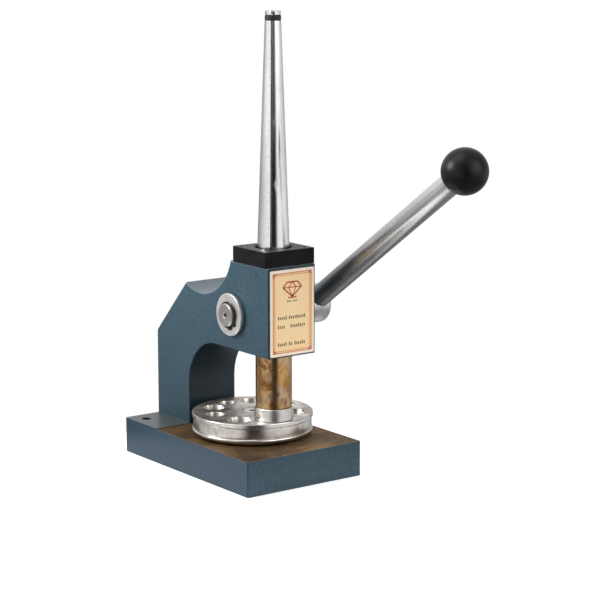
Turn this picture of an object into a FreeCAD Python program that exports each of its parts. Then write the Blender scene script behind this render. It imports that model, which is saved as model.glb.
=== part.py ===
import FreeCAD, Part
import math
import os
import Sketcher
from FreeCAD import Placement, Rotation, Vector

# Ring stretcher and reducer, a bench tool for jewellers.
#
# An iron casting (base, column and overhanging head) carries a split mandrel on top and a
# vertical ram below. A hand lever turns a pinion shaft in the head. The pinion moves the
# ram, whose foot presses rings into the conical holes of a turning die plate, and the ram
# pulls a tapered draw bar that spreads the four mandrel segments.
#
# Millimetres, +Z up, front face towards -Y, origin at the centre of the base's underside.

# ------------------------------------------------------------------ driving dimensions
DIMENSIONS = {
    # casting: base, column and head
    "base_width": 100.0,
    "base_length": 160.0,
    "base_height": 26.0,
    "milled_depth": 0.5,
    "body_width": 41.5,
    "column_front": 36.5,
    "head_front": -64.0,
    "head_under": 91.85,
    "head_top": 156.5,
    "throat_radius": 35.0,
    "slope_foot": 90.5,
    "ridge_offset": 40.0,
    "ridge_height": 132.45,
    "scallop_start": -17.9,
    "scallop_radius": 40.3,
    "casting_round": 1.2,
    "rear_round": 5.0,
    "base_hole_radius": 3.5,
    "base_hole_x": 39.5,
    "base_hole_y": 66.9,
    # shafts, bores and running clearances
    "running_fit": 0.05,
    "tight_fit": 0.02,
    "ram_y": -42.1,
    "shaft_y": -20.8,
    "shaft_z": 117.8,
    "ram_bore_top": 152.0,
    "draw_bar_hole": 6.0,
    # ram, rack and press foot
    "ram_radius": 13.07,
    "ram_bottom": 51.6,
    "ram_top": 123.0,
    "foot_radius": 14.0,
    "foot_bottom": 42.2,
    "rack_start": 82.0,
    "gear_module": 2.0,
    "pinion_teeth": 12,
    "pinion_addendum": 1.6,
    "rack_addendum": 1.3,
    "root_clearance": 0.4,
    "backlash": 0.1,
    # pinion shaft and its left bearing
    "journal_radius": 8.5,
    "hub_radius": 14.4,
    "hub_end": 59.0,
    "hub_round": 4.0,
    "shaft_end": -27.8,
    "shaft_shoulder": -12.2,
    "shoulder_gap": 0.15,
    "gear_end": 11.6,
    "flange_radius": 15.46,
    "flange_face": -24.7,
    "flange_rim": 2.1,
    "flange_neck": 14.0,
    "bush_radius": 11.0,
    "ring_radius": 9.7,
    "ring_thickness": 1.2,
    "ring_gap_angle": 182.0,
    # lever
    "lever_rise": 34.2,
    "lever_x": 50.0,
    "rod_radius": 8.0,
    "rod_seat": -10.0,
    "ball_distance": 203.2,
    "ball_radius": 16.1,
    "ball_flat": 13.0,
    "spigot_radius": 5.0,
    "spigot_length": 15.0,
    # mandrel, draw bar and top plate
    "plate_width": 42.7,
    "plate_depth": 40.4,
    "plate_top": 167.7,
    "plate_bore": 13.1,
    "plate_recess": 16.5,
    "plate_screw_x": 16.4,
    "plate_screw_y": 15.3,
    "screw_radius": 2.0,
    "screw_length": 12.0,
    "mandrel_flange": 15.5,
    "flange_top": 161.0,
    "cone_low_radius": 11.73,
    "cone_high_radius": 5.77,
    "band_bottom": 326.7,
    "band_top": 330.8,
    "band_seat": 4.7,
    "band_radius": 5.75,
    "lip_radius": 5.5,
    "mandrel_top": 333.7,
    "slit_width": 1.0,
    "bar_stem": 2.7,
    "bar_head": 3.4,
    "bar_top": 331.0,
    "bar_slope": 0.01,
    "wedge_bottom": 285.2,
    # die plate and its pivot
    "die_x": 2.1,
    "die_y": -12.4,
    "die_radius": 44.3,
    "die_waist": 43.4,
    "die_bottom": 26.9,
    "die_top": 42.15,
    "die_pitch": 29.77,
    "pivot_radius": 5.0,
    "pivot_thread": 4.0,
    "pivot_tip": 8.0,
    "pivot_head": 7.0,
    # name plate
    "label_width": 38.0,
    "label_height": 61.5,
    "label_centre": 123.7,
    "label_thickness": 0.6,
}

# mouth diameter of each conical hole of the die plate, and its direction from the pivot
DIE_HOLES = (
    (19.0, -94.05),
    (18.0, -44.9),
    (18.0, 5.9),
    (16.5, 56.7),
    (13.0, 92.1),
    (16.1, 126.6),
    (14.3, 168.2),
    (17.4, 216.8),
)
DIE_HOLE_DEPTH = 8.0
DIE_HOLE_BORE = 0.62

SEGMENTS = 4
PRESSURE_ANGLE = math.radians(20)

doc = FreeCAD.newDocument("ring_stretcher")
sheet = doc.addObject("Spreadsheet::Sheet", "dims")


# ------------------------------------------------------------------ sizes bound to cells
class Size:
    """A number together with the spreadsheet expression that gives it."""

    def __init__(self, value, text=None):
        self.value = float(value)
        self.text = text or repr(float(value))

    def combine(self, other, sign, result):
        return Size(result, f"({self.text} {sign} {other.text})")

    def __add__(self, other):
        other = as_size(other)
        return self.combine(other, "+", self.value + other.value)

    def __sub__(self, other):
        other = as_size(other)
        return self.combine(other, "-", self.value - other.value)

    def __mul__(self, other):
        other = as_size(other)
        return self.combine(other, "*", self.value * other.value)

    def __truediv__(self, other):
        other = as_size(other)
        return self.combine(other, "/", self.value / other.value)

    def __neg__(self):
        return Size(-self.value, f"(-1 * {self.text})")

    __radd__ = __add__


def as_size(number):
    return number if isinstance(number, Size) else Size(number)


def cosine(angle):
    return Size(math.cos(math.radians(angle)), f"cos({angle} deg)")


def sine(angle):
    return Size(math.sin(math.radians(angle)), f"sin({angle} deg)")


def other_leg(long_side, leg):
    """The third side of a right-angled triangle."""
    value = math.sqrt(long_side.value ** 2 - leg.value ** 2)
    return Size(value, f"sqrt({long_side.text} ^ 2 - {leg.text} ^ 2)")


def fill_sheet():
    """Write every driving dimension to its own cell and give the cell its name."""
    cells = {}
    for row, (name, value) in enumerate(DIMENSIONS.items(), start=1):
        sheet.set(f"A{row}", name)
        sheet.set(f"B{row}", str(value))
        sheet.setAlias(f"B{row}", name)
        cells[name] = Size(value, f"dims.{name}")
    doc.recompute()
    return cells


d = fill_sheet()


def bind(target, path, number):
    """Bind one property of an object to the sheet, or set it where it is a plain number."""
    target.setExpression(path, as_size(number).text)


# ------------------------------------------------------------------ sketch and feature helpers
def new_body(name, base=(0, 0, 0), tilt=None):
    """A body named after its node, placed at base and tilted about X where tilt is given."""
    body = doc.addObject("PartDesign::Body", name)
    body.Label = name
    if tilt is not None:
        body.Placement = Placement(Vector(), Rotation(Vector(1, 0, 0), tilt.value))
        bind(body, "Placement.Rotation.Angle", tilt)
    for axis, number in zip("xyz", base):
        bind(body, f"Placement.Base.{axis}", number)
    return body


def sketch_on(body, plane, offset=(0, 0, 0)):
    """A sketch on one of the body's own origin planes, moved by offset in the plane's axes."""
    sketch = body.newObject("Sketcher::SketchObject", f"{body.Label}_sketch")
    support = [item for item in body.Origin.OriginFeatures if item.Role == plane][0]
    sketch.AttachmentSupport = [(support, "")]
    sketch.MapMode = "FlatFace"
    for axis, number in zip("xyz", offset):
        bind(sketch, f"AttachmentOffset.Base.{axis}", number)
    return sketch


def constrain(sketch, kind, number, *where):
    """Add a dimension to the sketch and bind it to the sheet."""
    number = as_size(number)
    name = f"size_{sketch.ConstraintCount}"
    index = sketch.addConstraint(Sketcher.Constraint(kind, *where, number.value))
    sketch.renameConstraint(index, name)
    if "dims." in number.text:
        bind(sketch, f"Constraints.{name}", number)


def fix_point(sketch, curve, end, x, y):
    """Hold one end of a curve at x, y from the sketch's origin."""
    for kind, axis, number in (("DistanceX", -2, as_size(x)), ("DistanceY", -1, as_size(y))):
        if number.value == 0:
            sketch.addConstraint(Sketcher.Constraint("PointOnObject", curve, end, axis))
        else:
            constrain(sketch, kind, number, -1, 1, curve, end)


def arc_between(first, last, radius):
    """The short arc from first to last: anticlockwise for a positive radius."""
    chord = last - first
    normal = Vector(-chord.y, chord.x, 0).normalize()
    reach = math.sqrt(max(radius ** 2 - (chord.Length / 2) ** 2, 0))
    centre = (first + last) * 0.5 + normal * math.copysign(reach, radius)
    begin, finish = (first, last) if radius > 0 else (last, first)
    angles = [math.atan2(point.y - centre.y, point.x - centre.x) for point in (begin, finish)]
    return Part.ArcOfCircle(Part.Circle(centre, Vector(0, 0, 1), abs(radius)), *angles)


def outline(sketch, corners):
    """Close a loop through the corners.

    A corner is (x, y), or (x, y, radius) where an arc runs from it to the next corner.
    """
    points = [Vector(as_size(c[0]).value, as_size(c[1]).value, 0) for c in corners]
    curves = []
    for index, corner in enumerate(corners):
        first = points[index]
        last = points[(index + 1) % len(points)]
        if len(corner) == 3:
            radius = as_size(corner[2])
            curve = sketch.addGeometry(arc_between(first, last, radius.value))
            curves.append((curve, 1, 2) if radius.value > 0 else (curve, 2, 1))
            constrain(sketch, "Radius", Size(abs(radius.value), f"abs({radius.text})"), curve)
        else:
            curve = sketch.addGeometry(Part.LineSegment(first, last))
            curves.append((curve, 1, 2))
    for index, (curve, start, end) in enumerate(curves):
        following, following_start, _ = curves[(index + 1) % len(curves)]
        sketch.addConstraint(
            Sketcher.Constraint("Coincident", curve, end, following, following_start))
        fix_point(sketch, curve, start, corners[index][0], corners[index][1])


def rectangle(sketch, left, low, right, high):
    outline(sketch, [(left, low), (right, low), (right, high), (left, high)])


def circle(sketch, radius, x=0, y=0):
    centre = Vector(as_size(x).value, as_size(y).value, 0)
    curve = sketch.addGeometry(Part.Circle(centre, Vector(0, 0, 1), as_size(radius).value))
    constrain(sketch, "Radius", radius, curve)
    fix_point(sketch, curve, 3, x, y)


def hexagon(sketch, across_flats):
    """A regular hexagon around the sketch's origin."""
    radius = across_flats / math.sqrt(3)
    corners = [(radius * math.cos(math.radians(60 * k)), radius * math.sin(math.radians(60 * k)))
               for k in range(6)]
    for index, (x, y) in enumerate(corners):
        following = corners[(index + 1) % 6]
        sketch.addGeometry(Part.LineSegment(Vector(x, y, 0), Vector(*following, 0)))
    for index in range(6):
        sketch.addConstraint(
            Sketcher.Constraint("Coincident", index, 2, (index + 1) % 6, 1))
    sketch.addConstraint([Sketcher.Constraint("Block", index) for index in range(6)])


def extrude(body, kind, sketch, length, midplane=False, reverse=False):
    """A Pad or a Pocket of the sketch."""
    feature = body.newObject(f"PartDesign::{kind}", f"{body.Label}_{kind.lower()}")
    feature.Profile = sketch
    feature.Midplane = midplane
    feature.Reversed = reverse
    bind(feature, "Length", length)
    return feature


def turn(body, corners, offset=(0, 0, 0), axis="V_Axis", plane="XZ_Plane", cut=False):
    """Turn a profile about its sketch's own vertical or horizontal axis."""
    sketch = sketch_on(body, plane, offset)
    outline(sketch, corners)
    kind = "Groove" if cut else "Revolution"
    feature = body.newObject(f"PartDesign::{kind}", f"{body.Label}_{kind.lower()}")
    feature.Profile = sketch
    feature.ReferenceAxis = (sketch, [axis])
    feature.Angle = 360
    return feature


def drill(body, radius, low, high, offset=(0, 0, 0), axis="V_Axis", plane="XZ_Plane"):
    """A plain round hole from low to high along the axis."""
    if axis == "V_Axis":
        corners = [(0, low), (radius, low), (radius, high), (0, high)]
    else:
        corners = [(low, 0), (high, 0), (high, radius), (low, radius)]
    return turn(body, corners, offset, axis, plane, cut=True)


def dress(body, kind, size, wanted):
    """Fillet or chamfer the edges of the body for which wanted(edge) holds."""
    doc.recompute()
    base = body.Tip
    names = [f"Edge{index}" for index, edge in enumerate(base.Shape.Edges, start=1) if wanted(edge)]
    feature = body.newObject(f"PartDesign::{kind}", f"{body.Label}_{kind.lower()}")
    feature.Base = (base, names)
    bind(feature, "Radius" if kind == "Fillet" else "Size", size)
    return feature


def near(first, second):
    return abs(first - second) < 0.01


# ------------------------------------------------------------------ casting
def frame_casting():
    body = new_body("frame_casting")
    half_width = d["base_width"] / 2
    half_length = d["base_length"] / 2
    half_body = d["body_width"] / 2
    base_top = d["base_height"]

    plan = sketch_on(body, "XY_Plane")
    rectangle(plan, -half_width, -half_length, half_width, half_length)
    extrude(body, "Pad", plan, base_top)

    side = sketch_on(body, "YZ_Plane")
    outline(side, [
        (d["head_front"], d["head_under"]),
        (d["head_front"], d["head_top"]),
        (d["scallop_start"], d["head_top"], d["scallop_radius"]),
        (d["ridge_offset"], d["ridge_height"]),
        (half_length, d["slope_foot"]),
        (half_length, base_top / 2),
        (d["column_front"], base_top / 2),
        (d["column_front"], d["head_under"] - d["throat_radius"], d["throat_radius"]),
        (d["column_front"] - d["throat_radius"], d["head_under"]),
    ])
    extrude(body, "Pad", side, d["body_width"], midplane=True)

    milled = sketch_on(body, "XY_Plane", (0, 0, base_top))
    rectangle(milled, -half_width - 1, -half_length - 1, half_width + 1, d["column_front"])
    extrude(body, "Pocket", milled, d["milled_depth"])

    def outer_edge(edge):
        """Edges of the upright's two side faces, its nose and the base's corners."""
        box = edge.BoundBox
        on_side = near(abs(box.XMin), half_body.value) and near(box.XLength, 0)
        above_base = box.ZMin > base_top.value + 5 or box.ZMax > d["slope_foot"].value - 1
        base_corner = near(abs(box.XMin), half_width.value) and near(box.XLength, 0) \
            and near(box.YLength, 0) and box.ZMin < 1
        return (on_side and above_base) or base_corner

    dress(body, "Fillet", d["casting_round"], outer_edge)

    rear = half_length.value

    def rear_corner(edge):
        box = edge.BoundBox
        return near(box.YMin, rear) and near(box.YMax, rear) and near(box.ZMin, d["slope_foot"].value)

    dress(body, "Fillet", d["rear_round"], rear_corner)

    ram_line = (0, 0, -d["ram_y"])
    shaft_line = (0, d["shaft_z"], -d["shaft_y"])
    ram_bore = d["ram_radius"] + d["running_fit"]
    turn(body, [
        (0, d["head_under"] - 1),
        (ram_bore + 1.8, d["head_under"] - 1),
        (ram_bore, d["head_under"] + 0.8),
        (ram_bore, d["ram_bore_top"]),
        (0, d["ram_bore_top"]),
    ], ram_line, cut=True)
    drill(body, d["draw_bar_hole"], d["ram_bore_top"] - 1, d["head_top"] + 1, ram_line)

    hub_bore = d["hub_radius"] + d["running_fit"]
    bush_bore = d["bush_radius"] + d["tight_fit"]
    wall = d["shaft_shoulder"] - d["shoulder_gap"] - d["running_fit"]
    turn(body, [
        (-half_body - 1, 0),
        (half_body + 1, 0),
        (half_body + 1, hub_bore),
        (wall, hub_bore),
        (wall, bush_bore),
        (-half_body - 1, bush_bore),
    ], shaft_line, axis="H_Axis", cut=True)

    pivot_line = (d["die_x"], 0, -d["die_y"])
    drill(body, d["pivot_thread"] + d["tight_fit"], d["pivot_tip"] - 2, base_top + 1, pivot_line)

    bolts = sketch_on(body, "XY_Plane", (0, 0, base_top + 1))
    for side_sign in (-1, 1):
        circle(bolts, d["base_hole_radius"], d["base_hole_x"] * side_sign, d["base_hole_y"])
    extrude(body, "Pocket", bolts, base_top + 2)

    screws = sketch_on(body, "XY_Plane", (0, d["ram_y"], d["head_top"]))
    screw_hole = d["screw_radius"] + d["tight_fit"]
    for x_sign in (-1, 1):
        for y_sign in (-1, 1):
            circle(screws, screw_hole, d["plate_screw_x"] * x_sign, d["plate_screw_y"] * y_sign)
    extrude(body, "Pocket", screws, d["screw_length"] + 2)
    return body


def name_plate():
    """A thin plate on the front of the head."""
    body = new_body("name_plate", (0, d["head_front"], d["label_centre"]))
    front = sketch_on(body, "XZ_Plane")
    half_width = d["label_width"] / 2
    half_height = d["label_height"] / 2
    rectangle(front, -half_width, -half_height, half_width, half_height)
    extrude(body, "Pad", front, d["label_thickness"])
    dress(body, "Fillet", 0.8, lambda edge: near(edge.BoundBox.YLength, d["label_thickness"].value))
    return body


# ------------------------------------------------------------------ top plate
def mandrel_plate():
    body = new_body("mandrel_plate", (0, d["ram_y"], 0))
    half_width = d["plate_width"] / 2
    half_depth = d["plate_depth"] / 2
    plan = sketch_on(body, "XY_Plane", (0, 0, d["head_top"]))
    rectangle(plan, -half_width, -half_depth, half_width, half_depth)
    extrude(body, "Pad", plan, d["plate_top"] - d["head_top"])
    dress(body, "Fillet", 0.8, lambda edge: edge.BoundBox.ZLength > 5)
    dress(body, "Fillet", 0.6, lambda edge: edge.BoundBox.ZMin > d["plate_top"].value - 0.01)
    recess_top = d["flange_top"] + 0.1
    turn(body, [
        (0, d["head_top"] - 1),
        (d["plate_recess"], d["head_top"] - 1),
        (d["plate_recess"], recess_top),
        (d["plate_bore"], recess_top),
        (d["plate_bore"], d["plate_top"] - 0.6),
        (d["plate_bore"] + 1.6, d["plate_top"] + 1),
        (0, d["plate_top"] + 1),
    ], cut=True)
    for x_sign in (-1, 1):
        for y_sign in (-1, 1):
            turn(body, [
                (0, d["head_top"] - 1),
                (d["screw_radius"] + 0.2, d["head_top"] - 1),
                (d["screw_radius"] + 0.2, d["plate_top"] - 2),
                (d["screw_radius"] + 3.2, d["plate_top"] + 1),
                (0, d["plate_top"] + 1),
            ], (d["plate_screw_x"] * x_sign, 0, d["plate_screw_y"] * -y_sign), cut=True)
    return body


def plate_screws():
    """Four countersunk screws with hexagon sockets, kept as separate solids of one node."""
    bodies = []
    shank = d["screw_radius"]
    top = d["plate_top"] - 0.15
    tip = d["head_top"] - d["screw_length"]
    for x_sign in (-1, 1):
        for y_sign in (-1, 1):
            place = (d["plate_screw_x"] * x_sign, d["ram_y"] + d["plate_screw_y"] * y_sign, 0)
            body = new_body(f"plate_screw_{len(bodies) + 1}", place)
            turn(body, [
                (0, tip),
                (shank - 0.4, tip),
                (shank, tip + 0.4),
                (shank, top - 2.0),
                (shank + 1.8, top - 0.2),
                (shank + 1.8, top),
                (0, top),
            ])
            socket = sketch_on(body, "XY_Plane", (0, 0, top))
            hexagon(socket, 2.5)
            extrude(body, "Pocket", socket, 1.8)
            bodies.append(body)
    group = doc.addObject("Part::Compound", "plate_screws")
    group.Label = "plate_screws"
    group.Links = bodies
    return group


# ------------------------------------------------------------------ split mandrel
def mandrel_segment(number):
    """A quarter of the tapered mandrel, with slits half way between the axes."""
    body = new_body(f"mandrel_segment_{number}", (0, d["ram_y"], 0))
    body.Placement = Placement(
        Vector(0, d["ram_y"].value, 0), Rotation(Vector(0, 0, 1), 360 / SEGMENTS * (number - 1)))
    bind(body, "Placement.Base.y", d["ram_y"])
    foot = d["head_top"] + d["running_fit"]
    wedge_low = d["bar_head"] - (d["bar_top"] - d["wedge_bottom"]) * d["bar_slope"] + 0.04
    wedge_high = d["bar_head"] + (d["mandrel_top"] - d["bar_top"]) * d["bar_slope"] + 0.04
    relief = d["bar_stem"] + 0.55
    turn(body, [
        (relief, foot),
        (d["mandrel_flange"], foot),
        (d["mandrel_flange"], foot + 1.5),
        (d["mandrel_flange"] - 1.2, foot + 1.5),
        (d["mandrel_flange"] - 1.2, foot + 3.1),
        (d["mandrel_flange"], foot + 3.1),
        (d["mandrel_flange"], d["flange_top"]),
        (d["cone_low_radius"], d["flange_top"]),
        (d["cone_high_radius"], d["band_bottom"]),
        (d["band_seat"], d["band_bottom"]),
        (d["band_seat"], d["band_top"]),
        (d["lip_radius"], d["band_top"]),
        (d["lip_radius"], d["mandrel_top"] - 0.5),
        (d["lip_radius"] - 0.5, d["mandrel_top"]),
        (wedge_high, d["mandrel_top"]),
        (wedge_low, d["wedge_bottom"]),
        (relief, d["wedge_bottom"] - 0.3),
    ])
    far = 40
    tip = d["slit_width"] / math.sqrt(2)
    rest = sketch_on(body, "XY_Plane", (0, 0, d["mandrel_top"] / 2))
    outline(rest, [
        (tip, 0), (tip + far, far), (tip + far, 2 * far), (-2 * far, 2 * far),
        (-2 * far, -2 * far), (tip + far, -2 * far), (tip + far, -far),
    ])
    extrude(body, "Pocket", rest, 2 * d["mandrel_top"].value, midplane=True)
    return body


def mandrel_band():
    """The dark ring that holds the four segments together under their lip."""
    body = new_body("mandrel_band", (0, d["ram_y"], 0))
    inside = d["band_seat"] + d["running_fit"]
    low = d["band_bottom"] + d["running_fit"]
    high = d["band_top"] - d["running_fit"]
    turn(body, [
        (inside, low),
        (d["band_radius"] - 0.3, low),
        (d["band_radius"], low + 0.5),
        (d["band_radius"], high - 0.9),
        (d["band_radius"] - 0.5, high),
        (inside, high),
    ])
    return body


def mandrel_base_spring():
    """The wire ring in the groove of the mandrel's flange."""
    ring = doc.addObject("Part::Torus", "mandrel_base_spring")
    ring.Label = "mandrel_base_spring"
    wire = 0.65
    ring.Radius2 = wire
    bind(ring, "Radius1", d["mandrel_flange"] - 1.2 + wire + d["running_fit"])
    bind(ring, "Placement.Base.y", d["ram_y"])
    bind(ring, "Placement.Base.z", d["head_top"] + d["running_fit"] + 2.3)
    return ring


def draw_bar():
    """The bar whose 1 in 50 taper spreads the mandrel when it is pulled down."""
    body = new_body("draw_bar", (0, d["ram_y"], 0))
    taper = (d["bar_head"] - d["bar_stem"]) / d["bar_slope"]
    turn(body, [
        (0, d["ram_top"] - 16),
        (2.1, d["ram_top"] - 16),
        (2.5, d["ram_top"] - 15.6),
        (2.5, d["ram_top"] + 5),
        (d["bar_stem"], d["ram_top"] + 5.2),
        (d["bar_stem"], d["bar_top"] - taper),
        (d["bar_head"] - 0.006, d["bar_top"] - 0.6),
        (d["bar_head"] - 0.6, d["bar_top"]),
        (0, d["bar_top"]),
    ])
    return body


def draw_bar_nut():
    body = new_body("draw_bar_nut", (0, d["ram_y"], 0))
    plan = sketch_on(body, "XY_Plane", (0, 0, d["ram_top"]))
    hexagon(plan, 8.0)
    circle(plan, 2.5 + d["tight_fit"])
    extrude(body, "Pad", plan, 4)
    return body


# ------------------------------------------------------------------ ram
def rack_ram():
    body = new_body("rack_ram", (0, d["ram_y"], 0))
    turn(body, [
        (0, d["ram_bottom"]),
        (d["ram_radius"] - 0.6, d["ram_bottom"]),
        (d["ram_radius"], d["ram_bottom"] + 0.6),
        (d["ram_radius"], d["ram_top"] - 0.8),
        (d["ram_radius"] - 0.8, d["ram_top"]),
        (0, d["ram_top"]),
    ])
    drill(body, 3 + d["tight_fit"], d["ram_bottom"] - 1, d["ram_bottom"] + 17)
    drill(body, 2.5 + d["tight_fit"], d["ram_top"] - 17, d["ram_top"] + 1)

    pitch_radius = d["gear_module"] * d["pinion_teeth"] / 2
    pitch_line = d["shaft_y"] - d["ram_y"] - pitch_radius
    tip_plane = pitch_line + d["rack_addendum"]
    root_plane = pitch_line - d["pinion_addendum"] - d["root_clearance"]
    flat = sketch_on(body, "YZ_Plane")
    rectangle(flat, tip_plane, d["rack_start"], d["ram_radius"] + 2, d["ram_top"] + 2)
    extrude(body, "Pocket", flat, 40, midplane=True)

    pitch = d["gear_module"] * math.pi
    lean = math.tan(PRESSURE_ANGLE)
    half_gap = pitch / 4 + d["backlash"] / 2
    mouth = half_gap + (d["rack_addendum"] + 0.5) * lean
    bottom = half_gap - (pitch_line - root_plane) * lean
    gaps_below = 5
    gap = sketch_on(body, "YZ_Plane", (0, d["shaft_z"] - pitch * gaps_below, 0))
    outline(gap, [
        (root_plane, -bottom), (tip_plane + 0.5, -mouth), (tip_plane + 0.5, mouth), (root_plane, bottom),
    ])
    cut = extrude(body, "Pocket", gap, 40, midplane=True)
    row = body.newObject("PartDesign::LinearPattern", "rack_ram_teeth")
    row.Originals = [cut]
    row.Direction = (gap, ["V_Axis"])
    bind(row, "Length", pitch * (gaps_below + 1))
    row.Occurrences = gaps_below + 2
    body.Tip = row
    return body


def press_foot():
    body = new_body("press_foot", (0, d["ram_y"], 0))
    turn(body, [
        (5.6, d["foot_bottom"]),
        (d["foot_radius"] - 0.6, d["foot_bottom"]),
        (d["foot_radius"], d["foot_bottom"] + 0.6),
        (d["foot_radius"], d["ram_bottom"] - 0.6),
        (d["foot_radius"] - 0.6, d["ram_bottom"]),
        (3.3, d["ram_bottom"]),
        (3.3, d["foot_bottom"] + 6.5),
        (5.6, d["foot_bottom"] + 6.5),
    ])
    return body


def foot_screw():
    body = new_body("foot_screw", (0, d["ram_y"], 0))
    turn(body, [
        (0, d["foot_bottom"] + 0.5),
        (4.6, d["foot_bottom"] + 0.5),
        (5.0, d["foot_bottom"] + 0.9),
        (5.0, d["foot_bottom"] + 6.5),
        (3.0, d["foot_bottom"] + 6.5),
        (3.0, d["ram_bottom"] + 15.6),
        (2.6, d["ram_bottom"] + 16),
        (0, d["ram_bottom"] + 16),
    ])
    socket = sketch_on(body, "XY_Plane", (0, 0, d["foot_bottom"] + 3.5))
    hexagon(socket, 5.0)
    extrude(body, "Pocket", socket, 4)
    return body


# ------------------------------------------------------------------ lever and pinion shaft
def lever_body(name):
    """A body in the lever's own frame: X along the shaft, Z along the lever rod."""
    return new_body(name, (0, d["shaft_y"], d["shaft_z"]), tilt=Size(90) - d["lever_rise"])


def involute_point(base_radius, radius):
    """Angle of the involute at a radius, measured from its start on the base circle."""
    roll = math.sqrt(max((radius / base_radius) ** 2 - 1, 0))
    return roll - math.atan(roll)


def tooth_gap(sketch):
    """One gap between pinion teeth, with its middle on the sketch's +Y axis.

    The flanks are involutes of the pressure angle, each drawn as one arc, and they run
    straight inwards from the base circle to the root.
    """
    module = d["gear_module"].value
    teeth = DIMENSIONS["pinion_teeth"]
    pitch_radius = module * teeth / 2
    base_radius = pitch_radius * math.cos(PRESSURE_ANGLE)
    tip_radius = pitch_radius + d["pinion_addendum"].value
    root_radius = pitch_radius - d["rack_addendum"].value - d["root_clearance"].value
    at_pitch = (math.pi * module / 2 + d["backlash"].value) / 2 / pitch_radius
    start = at_pitch - involute_point(base_radius, pitch_radius)

    def polar(radius, angle):
        return Vector(radius * math.sin(angle), radius * math.cos(angle), 0)

    def flank_point(radius, side):
        return polar(radius, side * (start + involute_point(base_radius, radius)))

    outside = tip_radius + 0.6
    middle_radius = (base_radius + outside) / 2
    loop = []
    for side in (-1, 1):
        loop.append(Part.LineSegment(polar(root_radius, side * start), polar(base_radius, side * start)))
        loop.append(Part.Arc(polar(base_radius, side * start), flank_point(middle_radius, side),
                             flank_point(outside, side)))
    loop.append(Part.LineSegment(polar(root_radius, -start), polar(root_radius, start)))
    loop.append(Part.LineSegment(flank_point(outside, -1), flank_point(outside, 1)))
    for curve in loop:
        sketch.addConstraint(Sketcher.Constraint("Block", sketch.addGeometry(curve)))


def pinion_shaft():
    body = lever_body("pinion_shaft")
    journal = d["journal_radius"]
    hub = d["hub_radius"]
    groove_end = d["flange_face"] - d["running_fit"]
    groove_start = groove_end - d["ring_thickness"] - 0.05
    centre_hole = 1.65
    gear_radius = d["gear_module"] * d["pinion_teeth"] / 2 + d["pinion_addendum"]
    turn(body, [
        (d["shaft_end"] + 5.5, 0),
        (d["shaft_end"] + 4.5, centre_hole),
        (d["shaft_end"] + 0.5, centre_hole),
        (d["shaft_end"], centre_hole + 0.5),
        (d["shaft_end"], journal - 0.7),
        (d["shaft_end"] + 0.7, journal),
        (groove_start, journal),
        (groove_start, journal - 0.5),
        (groove_end, journal - 0.5),
        (groove_end, journal),
        (d["shaft_shoulder"], journal),
        (d["shaft_shoulder"], gear_radius),
        (d["gear_end"], gear_radius),
        (d["gear_end"], hub),
        (d["hub_end"] - d["hub_round"], hub, -d["hub_round"]),
        (d["hub_end"], hub - d["hub_round"]),
        (d["hub_end"], 0),
    ], axis="H_Axis")
    turn(body, [
        (0, d["rod_seat"] - 0.3),
        (d["rod_radius"] + d["tight_fit"], d["rod_seat"] - 0.3),
        (d["rod_radius"] + d["tight_fit"], hub - 1.9),
        (d["rod_radius"] + 1.0, hub - 1.9),
        (d["rod_radius"] + 1.0, hub + 1),
        (0, hub + 1),
    ], (d["lever_x"], 0, 0), cut=True)
    drill(body, 3 + d["tight_fit"], d["rod_radius"] - 1, hub + 1, (0, 0, d["lever_x"]),
          axis="H_Axis", plane="YZ_Plane")

    middle = (d["gear_end"] + d["shaft_shoulder"]) / 2
    gap = sketch_on(body, "YZ_Plane", (0, 0, middle))
    tooth_gap(gap)
    step = 180 / DIMENSIONS["pinion_teeth"]
    # the lever's frame leans back by lever_rise, and a tooth, half a step off, faces the rack
    turned_to_rack = d["lever_rise"].value + step
    gap.AttachmentOffset = Placement(Vector(), Rotation(Vector(0, 0, 1), turned_to_rack))
    bind(gap, "AttachmentOffset.Base.z", middle)
    cut = extrude(body, "Pocket", gap, d["gear_end"] - d["shaft_shoulder"], midplane=True)
    ring = body.newObject("PartDesign::PolarPattern", "pinion_shaft_teeth")
    ring.Originals = [cut]
    ring.Axis = (gap, ["N_Axis"])
    ring.Angle = 360
    ring.Occurrences = DIMENSIONS["pinion_teeth"]
    body.Tip = ring
    return body


def left_bush():
    """The flanged bush that carries the thin end of the shaft."""
    body = new_body("left_bush", (0, d["shaft_y"], d["shaft_z"]))
    bore = d["journal_radius"] + d["running_fit"]
    face = -d["body_width"] / 2
    inner_end = d["shaft_shoulder"] - d["shoulder_gap"]
    turn(body, [
        (d["flange_face"], bore),
        (inner_end, bore),
        (inner_end, d["bush_radius"]),
        (face, d["bush_radius"]),
        (face, d["flange_neck"]),
        (d["flange_face"] + d["flange_rim"], d["flange_neck"]),
        (d["flange_face"] + d["flange_rim"], d["flange_radius"]),
        (d["flange_face"] + 0.4, d["flange_radius"]),
        (d["flange_face"], d["flange_radius"] - 0.4),
    ], axis="H_Axis")
    return body


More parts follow.
